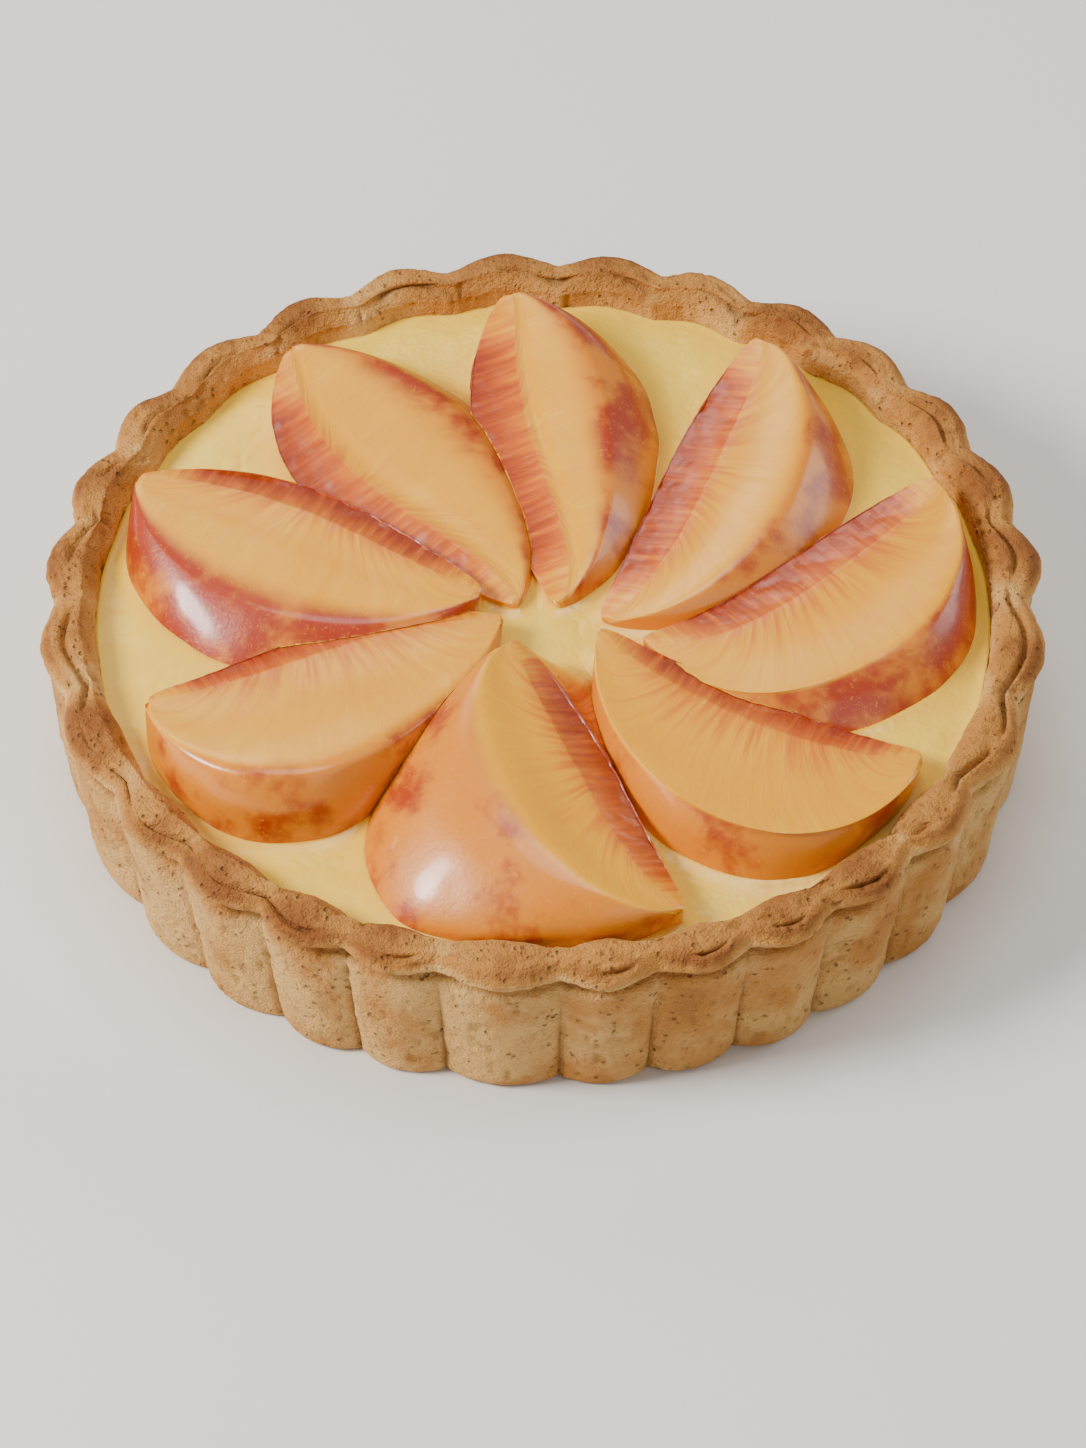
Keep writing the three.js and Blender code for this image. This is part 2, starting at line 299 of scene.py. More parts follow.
def flute_columns():
    """Columns round the rim: the angle of each, u from 0 to 1 across its flute, which flute it is
    in, arch = 1 − (2u − 1)² and wave, half arch and half a raised cosine."""
    u = np.arange(COLUMNS_PER_FLUTE) / COLUMNS_PER_FLUTE
    widths = np.array(FLUTE_WIDTHS, float)
    notches = FIRST_NOTCH + np.cumsum(widths) - widths
    angle = np.radians(notches[:, None] + widths[:, None] * u).ravel()
    u = np.tile(u, len(widths))
    flute = np.repeat(np.arange(len(widths)), COLUMNS_PER_FLUTE)
    arch = 1 - (2 * u - 1) ** 2
    wave = 0.5 * (arch + 0.5 - 0.5 * np.cos(2 * np.pi * u))
    return dict(angle=angle, u=u, flute=flute, arch=arch, wave=wave)


def wall_radius(columns, z):
    """Foot radius plus the flare and the flute's arch, which softens into a wave under the rim."""
    soft = 0.4 * smooth_step(0.7 * WALL_HEIGHT, WALL_HEIGHT, z)
    flute = (1 - soft) * columns["arch"] + soft * columns["wave"]
    return FOOT_RADIUS + WALL_FLARE * z / WALL_HEIGHT + FLUTE_DEPTH * flute


def inner_radius(columns):
    """The rim's inner edge bulges inwards behind a flute at the front and follows it at the back."""
    return FILL_RADIUS + INNER_WAVE * np.sin(columns["angle"]) * (2 * columns["wave"] - 1)


def shell_rows(columns):
    """Radius and height of the shell's profile: key points from the underside over the rim to the
    floor, joined by Catmull-Rom curves with a number of rows chosen for each span."""
    foot = wall_radius(columns, 0)
    rim = RIM_RADIUS + RIM_WAVE * columns["wave"]
    inner = inner_radius(columns)
    top = RIM_TOP - RIM_DIP * (1 - columns["wave"])
    roll = rim - RIM_CREASE
    keys = [
        (FLOOR_RADIUS + 0 * foot, 0, 1),
        (foot - 2 * FOOT_ROUND, 0, 2),
        (foot - 0.7 * FOOT_ROUND, 0.1, 3),
        (foot - 0.15 * FOOT_ROUND, 0.5 * FOOT_ROUND, 3),
        (wall_radius(columns, 2.2), 2.2, 9),
        (wall_radius(columns, 0.35 * WALL_HEIGHT), 0.35 * WALL_HEIGHT, 9),
        (wall_radius(columns, 0.7 * WALL_HEIGHT), 0.7 * WALL_HEIGHT, 8),
        (wall_radius(columns, WALL_HEIGHT), WALL_HEIGHT, 4),
        (rim - RIM_NECK, NECK_HEIGHT, 4),
        (rim, RIM_MIDDLE_HEIGHT, 4),
        (rim - 0.7, top - 1.6, 6),
        (rim - 2.1, top - 0.5, 6),
        (roll, top - 0.4, 7),
        (0.5 * (roll + inner) + 0.3, top, 7),
        (inner + 2.2, top - 0.8, 4),
        (inner + 0.5, RIM_MIDDLE_HEIGHT + 0.8, 4),
        (inner, FILL_LEVEL - 0.5, 3),
        (FLOOR_CORNER_RADIUS + 0 * foot, FLOOR_HEIGHT + 2, 2),
        (FLOOR_RADIUS + 0 * foot, FLOOR_HEIGHT, 0),
    ]
    points = np.array([np.stack([radius, height + 0 * foot], axis=-1) for radius, height, _ in keys])
    spans = np.concatenate([np.arange(count) / count + i for i, (*_, count) in enumerate(keys) if count])
    place = np.append(spans, len(keys) - 1)
    return catmull_rom(points, place)


def catmull_rom(points, place):
    """Curve through points along the first axis, at places counted in points."""
    start = np.minimum(place.astype(int), len(points) - 2)
    t = (place - start).reshape(-1, *[1] * (points.ndim - 1))
    before, here = points[np.maximum(start - 1, 0)], points[start]
    ahead, after = points[start + 1], points[np.minimum(start + 2, len(points) - 1)]
    return 0.5 * (2 * here + (ahead - before) * t
                  + (2 * before - 5 * here + 4 * ahead - after) * t ** 2
                  + (3 * here - before - 3 * ahead + after) * t ** 3)


def polar(radius, angle, z):
    """Points at a radius, angle and height."""
    return np.stack([radius * np.cos(angle), radius * np.sin(angle), z], axis=-1)


def rim_creases(columns, radius):
    """Share of a crease at each place: a Gaussian across a line that follows the rim's wave, further
    in at the back, and that is there between the ends of each crease, tapered towards them."""
    place = columns["flute"] + columns["u"]
    there = np.zeros_like(place)
    for start, end in RIM_CREASES:
        begun = smooth_step(start - 0.05, start + CREASE_TAPER, place)
        ended = smooth_step(end - CREASE_TAPER, end + 0.05, place)
        there = np.maximum(there, begun * (1 - ended))
    rim = RIM_RADIUS + RIM_WAVE * columns["wave"]
    line = rim - CREASE_INSET - CREASE_SHIFT * np.sin(columns["angle"]) - 0.4 * np.sin(2.3 * place)
    return there * np.exp(-(((radius - line) / CREASE_WIDTH) ** 2))


def crust_marks(columns, radius, z):
    """Where the shell is marked, as shares from 0 to 1: creases on the rim, a crack across its inner
    edge near each notch, the notch line between two flutes and the fold under the rim. Each is a
    Gaussian across its line. Each sinks the relief and darkens the colour there as painted shade."""
    rng = np.random.default_rng(CRACK_SEED)
    flutes = len(FLUTE_WIDTHS)
    flute = columns["flute"]
    rim = RIM_RADIUS + RIM_WAVE * columns["wave"]
    from_notch = (columns["u"] + 0.5) % 1 - 0.5

    crease = rim_creases(columns, radius) * on_rim_top(z)
    from_crack = from_notch - rng.uniform(-CRACK_SPREAD, CRACK_SPREAD, flutes)[flute]
    reach = rng.uniform(*CRACK_REACH, flutes)[flute]
    crack = np.exp(-((from_crack / CRACK_WIDTH) ** 2))
    crack = crack * smooth_step(RIM_MIDDLE_HEIGHT - 1, RIM_MIDDLE_HEIGHT + 1.5, z)
    crack = crack * (1 - smooth_step(0.4 * reach, reach, radius - inner_radius(columns)))
    notch = np.exp(-((from_notch / NOTCH_WIDTH) ** 2)) * (1 - smooth_step(8, WALL_HEIGHT + 3, z))
    fold = np.exp(-(((z - NECK_HEIGHT) / FOLD_WIDTH) ** 2)) * smooth_step(rim - 4, rim - 3, radius)
    return SimpleNamespace(crease=crease, crack=crack, notch=notch, fold=fold)


def on_rim_top(z):
    """Share of the rim's top: 0 at its middle height and 1 near its highest."""
    return smooth_step(RIM_MIDDLE_HEIGHT, RIM_TOP - 1, z)


def crust_toast(columns, rings, radius, z):
    """How brown the bake is: most on the rim, on the round of the flutes and at the foot, uneven in
    between."""
    rim = RIM_RADIUS + RIM_WAVE * columns["wave"]
    toast = 0.5 * smooth_step(RIM_MIDDLE_HEIGHT - 1, RIM_TOP, z)
    toast = toast + 0.35 * columns["arch"] * smooth_step(3, 20, z)
    toast = toast + 0.35 * (1 - smooth_step(0, 9, z))
    toast = toast + 0.35 * np.exp(-((radius - rim + 0.8) / 1.1) ** 2) * on_rim_top(z)
    return toast + layered_noise(rings, TOAST_PATCHES)


def make_crust():
    """Shell: the profile turned round the axis column by column, with the flutes leaning towards
    the front at the left and right, then pushed along its normals by the crumb, the pits and the
    marks."""
    columns = flute_columns()
    radius, z = np.moveaxis(shell_rows(columns), -1, 0)
    lean = np.radians(FLUTE_LEAN) * np.cos(columns["angle"]) * np.maximum(0, 1 - z / WALL_HEIGHT)
    rings = polar(radius, columns["angle"] - lean, z)
    visible = smooth_step(0.2, 1.5, z) * smooth_step(FLOOR_RADIUS, FLOOR_CORNER_RADIUS + 1, radius)
    marks = crust_marks(columns, radius, z)
    pits = smooth_step(0.4, 0.75, soft_noise(rings, PIT_SIZE, 5))

    relief = layered_noise(rings, CRUMB_LUMPS) - PIT_DEPTH * pits - CREASE_DEPTH * marks.crease
    relief = relief - CRACK_DEPTH * marks.crack - NOTCH_DEPTH * marks.notch - FOLD_DEPTH * marks.fold
    rings = rings + grid_normals(rings) * (relief * visible)[..., None]

    toast = crust_toast(columns, rings, radius, z) - 0.3 * marks.crease
    # Painted shade: the colour darkens in the creases, cracks, notch lines, the fold under the rim and the
    # pits, kept as the hollow attribute.
    shade = marks.crease + marks.crack + 0.8 * marks.notch + 0.75 * marks.fold + 0.5 * pits
    values = dict(toast=toast, hollow=np.clip(shade, 0, 1))
    return loft("baked_crust", rings, ((0, 0, 0), (0, 0, FLOOR_HEIGHT)), values)


def joined(start, end, share):
    """Places on the straight line between two, at shares of the way."""
    return start[0] + (end[0] - start[0]) * share, start[1] + (end[1] - start[1]) * share


def rounded(start, corner, end, share):
    """Places on the quadratic curve from start to end that is pulled out by a corner."""
    return joined(joined(start, corner, share), joined(corner, end, share), share)


def wedge_stations(w):
    """What changes from tip to tip, at stations s = −cos(π k / n). size shrinks towards the tips as
    a superellipse and deep does so later, bow bends the stone edge, droop and corner round off the
    tips, thick is the height over the bottom, and undercut the lean of the second cut face."""
    s = -np.cos(np.pi * np.arange(1, STATIONS) / STATIONS)[:, None]
    far = np.abs(s)
    rise = 0.5 * s * w["length"] * math.sin(math.radians(w["pitch"]))
    inner_undercut, outer_undercut = w["undercut"]
    turned = np.clip((s - UNDERCUT_TURN[0]) / (UNDERCUT_TURN[1] - UNDERCUT_TURN[0]), 0, 1)
    return SimpleNamespace(
        s=s,
        size=(1 - far ** w["blunt"]) ** (1 / w["blunt"]),
        deep=(1 - far ** TIP_DEPTH_POWER) ** (1 / TIP_DEPTH_POWER),
        bow=w["bow"] * (1 - s * s) * (1 + w["lead"] * s),
        droop=TIP_ROUND * (1 - np.sqrt(1 - far ** TIP_ROUND_POWER)),
        corner=TIP_CORNER * (1 - np.sqrt(1 - far ** TIP_CORNER_POWER)),
        thick=w["middle"][2] + rise - WEDGE_BOTTOM,
        undercut=inner_undercut + (outer_undercut - inner_undercut) * turned,
        middle_share=smooth_step(0, 0.45, 1 - far),
    )


def on_face(w, at, distance, drop):
    """Place h, v in a section of a point on the cut face: its distance from the stone edge along the
    face, turned by the roll, and its drop below the face."""
    roll = math.radians(w["roll"])
    along = distance * at.size - at.bow
    return along * math.cos(roll), along * math.sin(roll) - drop * at.size


def on_skin(w, at, share):
    """Place in a section of a point on the skin, an arc that turns from its lean at the edge until
    it reaches the bottom at share 1."""
    roll, lean = math.radians(w["roll"]), math.radians(w["lean"])
    edge = (w["depth"] * at.size * math.cos(roll), w["depth"] * at.size * math.sin(roll))
    drop = w["depth"] * math.sin(roll) + at.thick
    lowest = np.arcsin(np.maximum(LOWEST_SKIN_SINE, math.sin(lean) - drop / w["curve"]))
    angle = lean + (lowest - lean) * share
    h = w["curve"] * (np.cos(angle) - math.cos(lean))
    v = w["curve"] * (np.sin(angle) - math.sin(lean))
    return edge[0] + h * at.size, edge[1] + v * (at.deep - (1 - at.size) * TIP_LIFT)


def wedge_outline(w, at):
    """Seven runs of places h, v round a section: second cut face, lip, stone hollow, cut face,
    rounded edge, skin and underside."""
    single = np.ones((1, 1))

    # A shallow scoop where the stone lay, which fades into a plain bevel towards the tips
    scoop_share = np.linspace(SCOOP_START, 1, SCOOP_POINTS)[None]
    scoop_at = -STONE_LIP + (w["hollow"] + STONE_LIP) * scoop_share
    bevel = STONE_DROP * (1 - smooth_step(0, 0.8, scoop_share))
    hollow = STONE_DEPTH * (1 - scoop_share) ** 0.75
    scoop_drop = bevel + at.middle_share * (hollow - bevel)
    scoop = on_face(w, at, scoop_at, scoop_drop)

    # The flat cut face, slightly sunk as fruit dries
    face_share = np.linspace(0, 1, FACE_POINTS)[None, 1:]
    face_at = w["hollow"] + (w["depth"] - EDGE_ROUND - w["hollow"]) * face_share
    face = on_face(w, at, face_at, FACE_SINK * np.sin(np.pi * face_share) ** 2)

    # The skin and the rounded edge that leads into it
    face_end = on_face(w, at, (w["depth"] - EDGE_ROUND) * single, 0)
    skin_start = on_skin(w, at, EDGE_SHARE * single)
    edge_share = np.linspace(0, 1, EDGE_POINTS)[None, 1:-1]
    edge = rounded(face_end, on_skin(w, at, 0 * single), skin_start, edge_share)
    skin = on_skin(w, at, np.linspace(EDGE_SHARE, 1, SKIN_POINTS)[None])

    # The level underside, the second cut face and the lip between that and the scoop
    bottom = (at.undercut * at.thick * at.size - at.bow, -at.thick * at.deep)
    under = joined(on_skin(w, at, single), bottom, np.linspace(0, 1, UNDER_POINTS)[None, 1:-1])
    scoop_start = on_face(w, at, scoop_at[:, :1], scoop_drop[:, :1])
    lip_low = joined(scoop_start, bottom, LIP_SHARE)
    second = joined(bottom, lip_low, np.linspace(0, 1, SECOND_POINTS)[None, :-1])
    lip_corner = on_face(w, at, -STONE_LIP * single, STONE_DROP)
    lip = rounded(lip_low, lip_corner, scoop_start, np.linspace(0, 1, LIP_POINTS)[None, :-1])
    return [second, lip, scoop, face, edge, skin, under]


def wedge_masks(counts):
    """Values round a section that go straight from one number to another along each run: reach
    slides with the drift, and stone, skin and inner say where the red, the skin and the flesh near
    the stone are."""
    def spread(ranges):
        return np.concatenate([np.linspace(a, b, n) for (a, b), n in zip(ranges, counts)])

    return dict(
        reach=spread([(0, 0), (0, 0), (0, 0.3), (0.3, 1), (1, 1), (1, 1), (1, 0)]),
        stone=spread([(0.2, 0.7), (0.8, 1), (1, 0.6), (0.5, -0.3), (0, 0), (0, 0), (0, 0)]),
        skin=spread([(0, 0), (0, 0), (0, 0), (0, 0), (0.1, 0.95), (1, 1), (1, 0)]),
        inner=spread([(0.3, 1), (1, 1), (1, 1), (1, 0), (0, 0), (0, 0), (0, 0)]),
    )


def wedge_axes(w):
    """Unit vectors of a wedge: the chord from tip to tip, out towards the skin, and up."""
    heading, pitch = math.radians(w["heading"]), math.radians(w["pitch"])
    level = math.cos(pitch)
    chord = np.array([math.cos(heading) * level, math.sin(heading) * level, math.sin(pitch)])
    left = np.array([-math.sin(heading), math.cos(heading), 0])
    return chord, left * w["side"], np.cross(chord, left)


def wedge_sections(w):
    """Sections of a wedge across its chord, from tip to tip. The place of a section point is
    middle + along · chord + h · out + v · up, where along slides with the drift."""
    at = wedge_stations(w)
    runs = wedge_outline(w, at)
    h = np.concatenate([run[0] + at.corner for run in runs], axis=1)
    v = np.concatenate([run[1] + 0 * at.s for run in runs], axis=1)
    top = np.max(v, axis=1, keepdims=True)
    v = np.minimum(v, top - at.droop * (1 - smooth_step(0, DROOP_REACH, top - v)))
    masks = wedge_masks([run[0].shape[1] for run in runs])

    chord, out, up = wedge_axes(w)
    middle = np.array(w["middle"], float)
    half = 0.5 * w["length"]
    along = at.s * half + w["drift"] * masks["reach"] * h
    rings = middle + along[..., None] * chord + h[..., None] * out + v[..., None] * up
    tip = middle + TIP_CORNER * out - TIP_ROUND * up
    tips = [inside_wall(tip + end * half * chord) for end in (-1, 1)]

    ones = np.ones_like(h)
    steps = np.cumsum(np.hypot(np.diff(h), np.diff(v)), axis=1)
    around = np.concatenate([np.zeros((len(at.s), 1)), steps], axis=1)
    fan = 1 + FIBRE_FAN * (1 - masks["inner"])
    values = dict(
        stone=masks["stone"] * ones * (0.35 + 0.65 * at.middle_share),
        skin=masks["skin"] * ones,
        inner=masks["inner"] * ones,
        grain=np.stack([at.s * half / fan, around, 0 * ones], axis=-1),
    )
    return inside_wall(rings), tips, values


def inside_wall(points):
    """Slides points along their radius so that they stay inside the shell, whose inner wall leans
    out. The limit is a soft one: r − k · log(1 + exp((r − limit) / k))."""
    rise = points[..., 2] - FILL_LEVEL
    limit = WALL_CLEARANCE + np.maximum(WALL_SLOPE_BELOW * rise, WALL_SLOPE_ABOVE * rise)
    radius = np.hypot(points[..., 0], points[..., 1])
    over = WALL_SOFTNESS * np.logaddexp(0, (radius - limit) / WALL_SOFTNESS)
    scale = (radius - over) / np.maximum(radius, 1e-6)
    return np.stack([points[..., 0] * scale, points[..., 1] * scale, points[..., 2]], axis=-1)


def make_wedge(name, number):
    """Wedge with the soft unevenness of fruit: broad swells on the skin, shallow knife marks and
    fibres on the cut faces, and pits where the stone lay."""
    rings, tips, values = wedge_sections(WEDGES[name])
    normals = grid_normals(rings)
    stone, skin, grain = values["stone"], values["skin"], values["grain"]
    seed = 100 * number
    ripe = np.random.default_rng(seed).uniform(-RIPENESS, RIPENESS)
    fibre_place = grain * [1 / 1.3, 1 / 14, 1]
    fibres = soft_noise(fibre_place, 1, seed + 1)
    coarse_lump, fine_lump = STONE_LUMPS
    pitted = layered_noise(rings, [(coarse_lump, 2.6, seed + 4), (fine_lump, 1.3, seed + 5)])
    relief = FLESH_SWELL * soft_noise(rings, 11, seed + 2)
    relief += skin * SKIN_SWELL * soft_noise(rings, 7, seed + 3)
    relief += (1 - skin) * FIBRE_DEPTH * fibres
    relief += stone ** 2 * pitted
    rings = rings + normals * relief[..., None]
    values["ripe"] = np.full_like(skin, ripe)
    return loft("peach_" + name, rings, tips, values), rings


def cut_back(piece, others):
    """Cuts a wedge back from the ones laid over it, each grown by a small gap along its normals."""
    for other in others:
        tool_mesh = other.data.copy()
        places = np.zeros(3 * len(tool_mesh.vertices))
        directions = np.zeros_like(places)
        tool_mesh.vertices.foreach_get("co", places)
        tool_mesh.vertex_normals.foreach_get("vector", directions)
        tool_mesh.vertices.foreach_set("co", places + WEDGE_GAP * MM * directions)
        tool_mesh.update()
        tool = bpy.data.objects.new("tool", tool_mesh)
        bpy.context.scene.collection.objects.link(tool)
        cut = piece.modifiers.new("cut", "BOOLEAN")
        cut.operation = "DIFFERENCE"
        cut.solver = "MANIFOLD"
        cut.object = tool
        graph = bpy.context.evaluated_depsgraph_get()
        mesh = bpy.data.meshes.new_from_object(piece.evaluated_get(graph))
        piece.modifiers.remove(cut)
        piece.data = mesh
        bpy.data.objects.remove(tool)
        bpy.data.meshes.remove(tool_mesh)
    piece.data.set_sharp_from_angle(angle=math.radians(SHARP_ANGLE))


def boxes_meet(one, other):
    """Whether the boxes of two vertex arrays overlap."""
    low = np.maximum(one.min(axis=(0, 1)), other.min(axis=(0, 1)))
    high = np.minimum(one.max(axis=(0, 1)), other.max(axis=(0, 1)))
    return bool(np.all(low < high))


def make_wedges():
    """All wedges in laying order."""
    made = {}
    for name in LAYING_ORDER:
        number = int(name.split("_")[1])
        piece, rings = make_wedge(name, number)
        over = [other for other, other_rings in made.values() if boxes_meet(rings, other_rings)]
        made[name] = (piece, rings)
        cut_back(piece, over)
    return made


def outline_at(rings, level):
    """Outline of a wedge where it meets a level: on each section, the places where the ring of
    points crosses that height, first on one side and then back on the other."""
    z = rings[..., 2]
    after = np.roll(z, -1, axis=1)
    share = (level - z) / np.where(after == z, 1, after - z)
    crossing = rings[..., :2] + share[..., None] * (np.roll(rings, -1, axis=1) - rings)[..., :2]
    rising = (z < level) & (after >= level)
    falling = (z >= level) & (after < level)
    good = rising.any(axis=1) & falling.any(axis=1)
    pick = np.arange(len(rings))
    going = crossing[pick, rising.argmax(axis=1)][good]
    coming = crossing[pick, falling.argmax(axis=1)][good]
    return np.concatenate([going, coming[::-1]])[::3]


def signed_distance(points, outline):
    """Distance from flat points to a closed outline, negative inside. Inside is an odd number of
    outline sides crossed by a ray along x."""
    a, b = outline, np.roll(outline, -1, axis=0)
    side = b - a
    nearest = np.full(len(points), np.inf)
    inside = np.zeros(len(points), bool)
    for start, step in zip(a, side):
        offset = points - start
        share = np.clip(offset @ step / max(1e-9, step @ step), 0, 1)
        nearest = np.minimum(nearest, np.hypot(*(offset - share[:, None] * step).T))
        crosses = (offset[:, 1] < 0) != (offset[:, 1] < step[1])
        if step[1]:
            inside ^= crosses & (offset[:, 0] < step[0] * offset[:, 1] / step[1])
    return np.where(inside, -nearest, nearest)


def fruit_distance(flat, wedges):
    """Distance of each place of a level grid from the nearest wedge, negative under one."""
    points = flat[..., :2].reshape(-1, 2)
    outlines = [outline_at(rings, FILL_LEVEL + 0.3) for _, rings in wedges.values()]
    nearest = np.min([signed_distance(points, outline) for outline in outlines], axis=0)
    return nearest.reshape(flat.shape[:-1])


def make_custard(wedges):
    """Custard: a polar grid whose height is the fill level, plus gentle unevenness, a swell that
    falls off exponentially from the fruit and from the wall, less a sink towards the wall, small
    pits and a bed under each wedge."""
    columns = flute_columns()
    columns = {key: value[::CUSTARD_COLUMN_STEP] for key, value in columns.items()}
    angle = columns["angle"]
    edge = inner_radius(columns) + CUSTARD_TUCK
    share = (np.arange(CUSTARD_RINGS) / CUSTARD_RINGS)[:, None]
    radius = edge * (1 - share) + 0 * angle
    flat = polar(radius, angle + 0 * radius, 0 * radius)
    distance = fruit_distance(flat, wedges)
    outside = np.maximum(0, distance)
    height = FILL_LEVEL + layered_noise(flat, CUSTARD_RIPPLES)
    height += SWELL_HEIGHT * np.exp(-((outside / SWELL_WIDTH) ** 1.2))
    height += WALL_CLING * np.exp(-(edge - radius) / 1.1)
    height -= WALL_SINK * np.exp(-(((edge - radius) / WALL_SINK_WIDTH) ** 2))
    pits = smooth_step(0.62, 0.85, soft_noise(flat, 2.1, 33)) * smooth_step(1, 4, outside)
    height -= 0.18 * pits
    height -= (BED_DEPTH + 1) * smooth_step(0.7, 2.4, -distance)
    top = np.stack([flat[..., 0], flat[..., 1], height], axis=-1)
    rest = 0 * angle
    below = [
        polar(FLOOR_RADIUS + rest, angle, FLOOR_HEIGHT + rest),
        polar(FLOOR_CORNER_RADIUS + rest, angle, FLOOR_HEIGHT + 2 + rest),
        polar(edge, angle, FILL_LEVEL - 1 + rest),
    ]
    rings = np.concatenate([below, top])
    near = np.concatenate([np.zeros((3, len(angle))), np.exp(-outside / JUICE_REACH)])
    poles = ((0, 0, FLOOR_HEIGHT), (0, 0, float(height[-1].mean())))
    return loft("set_custard", rings, poles, dict(near_fruit=near))


def paint(name):
    """Linear colour of a name in COLOURS, whose code is red, green and blue in pairs."""
    parts = [int(COLOURS[name][i:i + 2], 16) / 255 for i in (0, 2, 4)]
    return (*[c / 12.92 if c <= 0.04045 else ((c + 0.055) / 1.055) ** 2.4 for c in parts], 1)


class Nodes:
    """A node tree with short ways to add and join nodes."""

    def __init__(self, tree):
        self.tree = tree

    def add(self, kind, settings=(), **inputs):
        node = self.tree.nodes.new(kind)
        for key, value in dict(settings).items():
            setattr(node, key, value)
        for key, value in inputs.items():
            self.put(node.inputs[key.replace("_", " ")], value)
        return node

    def put(self, socket, value):
        if isinstance(value, bpy.types.NodeSocket):
            self.tree.links.new(value, socket)
        else:
            socket.default_value = value

    def math(self, operation, *values):
        node = self.tree.nodes.new("ShaderNodeMath")
        node.operation = operation
        for socket, value in zip(node.inputs, values):
            self.put(socket, value)
        return node.outputs[0]

    def times(self, value, factor):
        return self.math("MULTIPLY", value, factor)

    def plus(self, value, other):
        return self.math("ADD", value, other)

    def ramp(self, value, low, high, start=0.0, end=1.0):
        node = self.tree.nodes.new("ShaderNodeMapRange")
        node.interpolation_type = "SMOOTHSTEP"
        for socket, number in zip(node.inputs, (value, low, high, start, end)):
            self.put(socket, number)
        return node.outputs[0]

    def mix(self, share, first, second):
        node = self.tree.nodes.new("ShaderNodeMix")
        node.data_type = "RGBA"
        self.put(node.inputs["Factor"], share)
        self.put(node.inputs["A"], first)
        self.put(node.inputs["B"], second)
        return node.outputs["Result"]

    def noise(self, vector, scale, detail=2.0, roughness=0.5):
        node = self.add("ShaderNodeTexNoise", Scale=scale, Detail=detail, Roughness=roughness)
        self.put(node.inputs["Vector"], vector)
        return node.outputs["Fac"]

    def attribute(self, name, output="Fac"):
        node = self.add("ShaderNodeAttribute", dict(attribute_name=name))
        return node.outputs[output]


def new_group(name, inputs, outputs):
    """Empty shader node group with float or vector inputs and outputs."""
    tree = bpy.data.node_groups.new(name, "ShaderNodeTree")
    for label, kind, default in inputs:
        socket = tree.interface.new_socket(label, in_out="INPUT", socket_type="NodeSocket" + kind)
        if default is not None:
            socket.default_value = default
    for label, kind in outputs:
        tree.interface.new_socket(label, in_out="OUTPUT", socket_type="NodeSocket" + kind)
    return tree, tree.nodes.new("NodeGroupInput"), tree.nodes.new("NodeGroupOutput")


def mottle_group():
    """Soft patches: one noise pushed round by another, set between a low and a high threshold."""
    inputs = [
        ("Vector", "Vector", None), ("Scale", "Float", 100.0),
        ("Low", "Float", 0.4), ("High", "Float", 0.6),
    ]
    tree, given, made = new_group("mottle", inputs, [("Mask", "Float")])
    nodes = Nodes(tree)
    drift = nodes.add("ShaderNodeTexNoise", Scale=given.outputs["Scale"], Detail=1.0)
    nodes.put(drift.inputs["Vector"], given.outputs["Vector"])
    pushed = nodes.add("ShaderNodeVectorMath", dict(operation="MULTIPLY_ADD"))
    nodes.put(pushed.inputs[0], drift.outputs["Color"])
    nodes.put(pushed.inputs[1], (0.006, 0.006, 0.006))
    nodes.put(pushed.inputs[2], given.outputs["Vector"])
    patches = nodes.noise(pushed.outputs[0], given.outputs["Scale"], 4.0, 0.6)
    mask = nodes.ramp(patches, given.outputs["Low"], given.outputs["High"])
    nodes.put(made.inputs["Mask"], mask)
    return tree


def crumb_group():
    """Baked crumb: coarse and fine noise with small open pores, as a height and a pore mask. The
    pore mask also carries painted shade into the pores' colour.
    """
    inputs = [("Vector", "Vector", None), ("Scale", "Float", 900.0), ("Pores", "Float", 0.5)]
    tree, given, made = new_group("crumb", inputs, [("Height", "Float"), ("Pore", "Float")])
    nodes = Nodes(tree)
    scale = given.outputs["Scale"]
    coarse = nodes.noise(given.outputs["Vector"], scale, 3.0, 0.65)
    fine = nodes.noise(given.outputs["Vector"], nodes.times(scale, 3.3), 2.0, 0.6)
    cells = nodes.add("ShaderNodeTexVoronoi", Scale=nodes.times(scale, 0.8))
    nodes.put(cells.inputs["Vector"], given.outputs["Vector"])
    shaded_pore = nodes.ramp(cells.outputs["Distance"], 0.05, 0.32, 1.0, 0.0)
    picked = nodes.ramp(nodes.noise(given.outputs["Vector"], nodes.times(scale, 0.5)), 0.5, 0.6)
    shaded_pore = nodes.times(shaded_pore, picked)
    lump = nodes.plus(nodes.times(coarse, 0.7), nodes.times(fine, 0.3))
    height = nodes.math("SUBTRACT", lump, nodes.times(shaded_pore, given.outputs["Pores"]))
    nodes.put(made.inputs["Height"], height)
    nodes.put(made.inputs["Pore"], shaded_pore)
    return tree


def new_material(name):
    """Material with a Principled shader, and the Object coordinates for its patterns."""
    material = bpy.data.materials.new(name)
    material.use_nodes = True
    nodes = Nodes(material.node_tree)
    shader = material.node_tree.nodes["Principled BSDF"]
    place = nodes.add("ShaderNodeTexCoord").outputs["Object"]
    return material, nodes, shader, place


def use_group(nodes, group, **inputs):
    """Places a node group with its own values."""
    node = nodes.tree.nodes.new("ShaderNodeGroup")
    node.node_tree = group
    for key, value in inputs.items():
        nodes.put(node.inputs[key], value)
    return node.outputs


def set_bump(nodes, shader, height, distance):
    """Small relief by the shader: a height of 1 stands this distance in metres proud."""
    bump = nodes.add("ShaderNodeBump", Strength=1.0, Distance=distance)
    nodes.put(bump.inputs["Height"], height)
    nodes.put(shader.inputs["Normal"], bump.outputs["Normal"])


